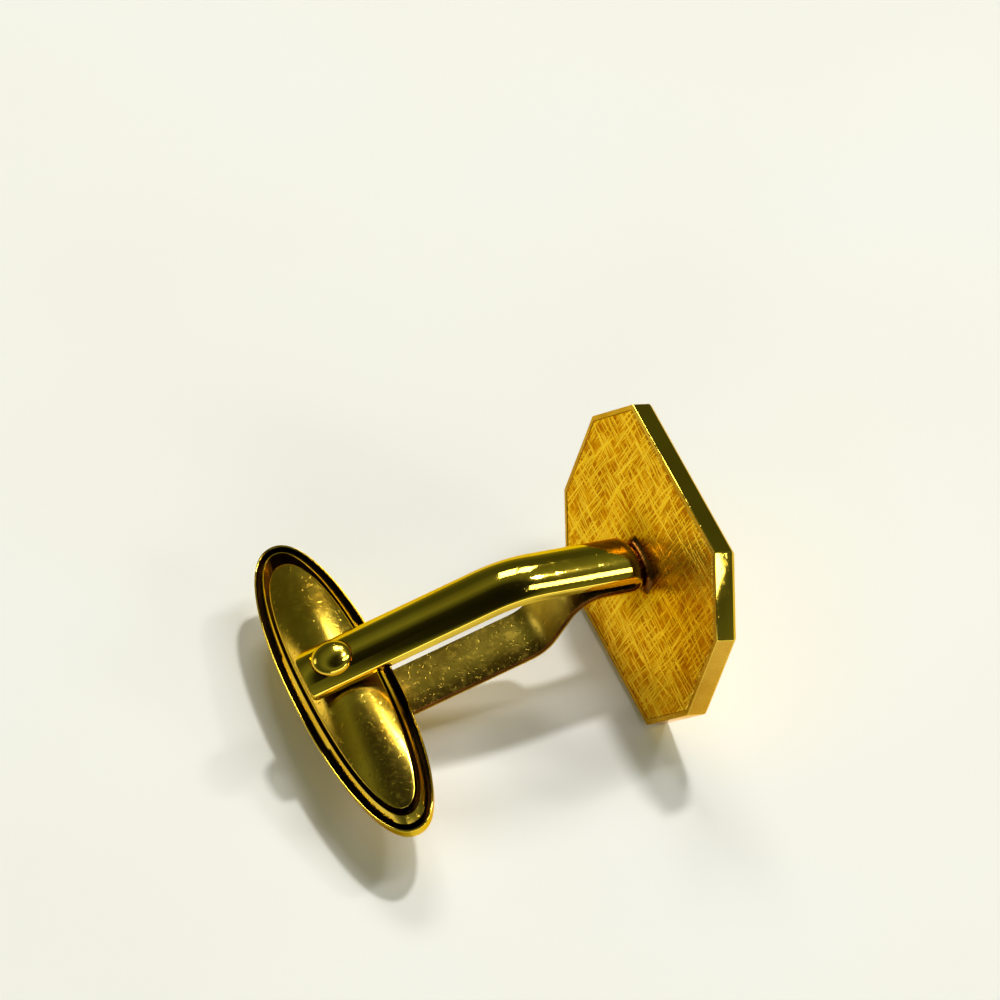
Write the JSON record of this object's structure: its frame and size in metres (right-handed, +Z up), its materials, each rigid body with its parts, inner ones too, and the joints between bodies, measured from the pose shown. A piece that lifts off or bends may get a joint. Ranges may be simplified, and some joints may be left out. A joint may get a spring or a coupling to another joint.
{
  "type": "cufflink",
  "caption": "Swivel-back cufflink: clipped-corner head with a cross-hatched back, hairpin post, and a boat-shaped toggle that turns on a rivet to pass and hold a shirt cuff.",
  "frame": {"origin": "middle of the bounding box on the table, with the link lying on its side", "axes": "+Z up from the table, +X from the toggle towards the head, Y along the closed toggle"},
  "size_m": [0.0202, 0.0195, 0.0107],
  "materials": {
    "polished_gold_plate": "polished gold plate on stamped brass",
    "florentine_gold_plate": "gold plate, scratch-hatched in two directions",
    "solder": "flowed hard solder under plate",
    "bare_brass": "turned brass",
    "spring_steel": "rolled spring strip"
  },
  "bodies": {
    "link": {"face_tray": "polished_gold_plate", "back_plate": "florentine_gold_plate", "solder_joint": "solder", "fork_post": "polished_gold_plate", "pivot_rivet": "polished_gold_plate", "pivot_sleeve": "bare_brass"},
    "toggle": {"toggle_pan": "polished_gold_plate", "toggle_dome": "polished_gold_plate", "friction_spring": "spring_steel"}
  },
  "joints": [
    {"name": "toggle_swivel", "type": "hinge", "parent": "link", "child": "toggle", "pos_m": [-0.00761, 0, 0.0029], "axis": [-0.2305, 0, 0.9731], "continuous": true}
  ]
}
